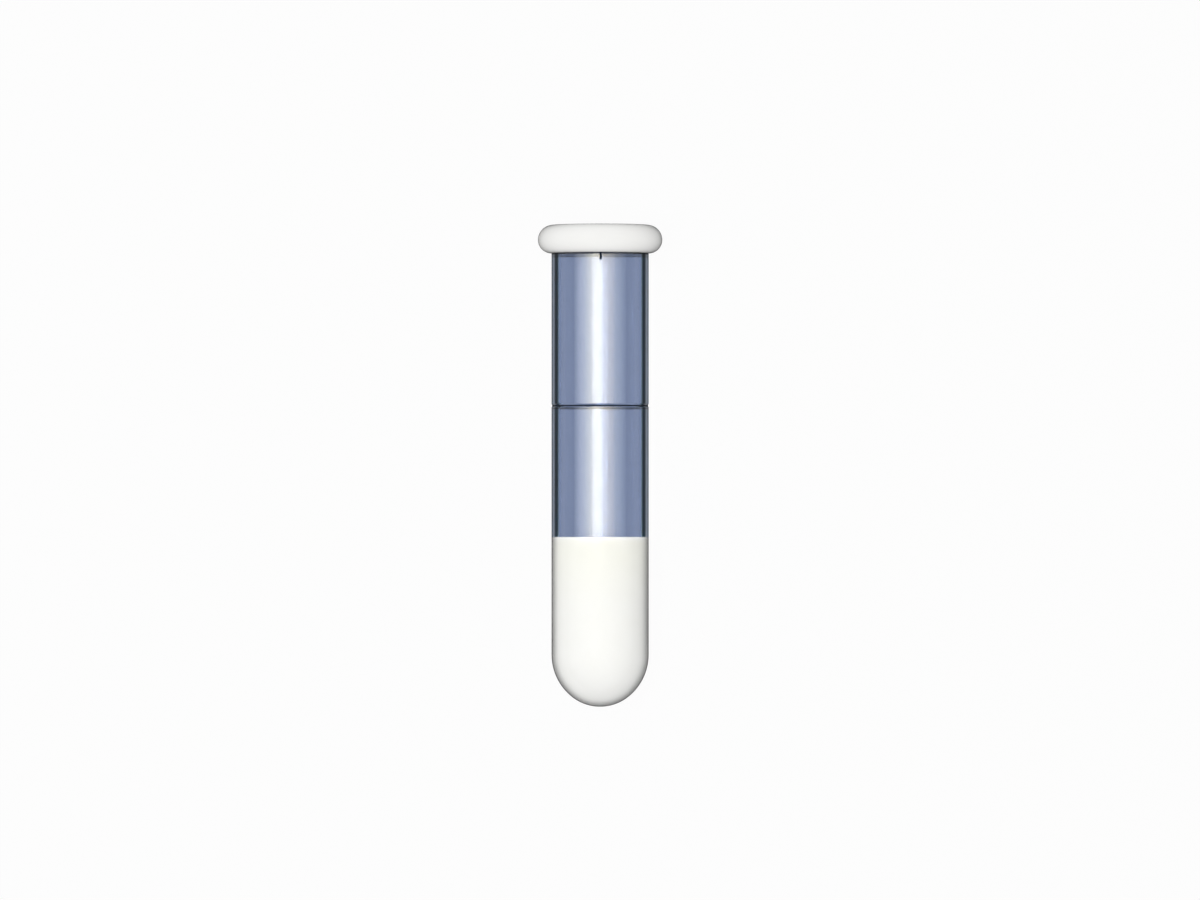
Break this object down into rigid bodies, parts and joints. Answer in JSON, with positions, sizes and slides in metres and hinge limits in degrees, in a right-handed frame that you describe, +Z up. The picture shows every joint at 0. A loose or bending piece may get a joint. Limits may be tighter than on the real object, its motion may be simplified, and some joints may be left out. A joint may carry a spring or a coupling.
{
  "type": "digestion tube",
  "caption": "Round-bottomed glass digestion tube with a fill mark, closed by a thick round-edged push-on cap and holding settled white contents.",
  "frame": {"origin": "on the resting surface, under the middle of the closed tube as it lies", "axes": "+Y along the tube towards the cap, +Z up; the tube's own axis leans up by 1.87 degrees towards the cap, because the cap is wider than the tube"},
  "size_m": [0.0384, 0.1492, 0.0384],
  "materials": {
    "tube_glass": "clear, fire-polished",
    "white_contents": "smooth, dense white",
    "cap_polymer": "satin, moulded"
  },
  "bodies": {
    "tube": {"tube": "tube_glass", "sample": "white_contents"},
    "cap": {"cap": "cap_polymer"}
  },
  "joints": [
    {"name": "cap_pull", "type": "slide", "parent": "tube", "child": "cap", "axis": [0, 0.9995, 0.0326], "range_m": [0, 0.06]}
  ]
}
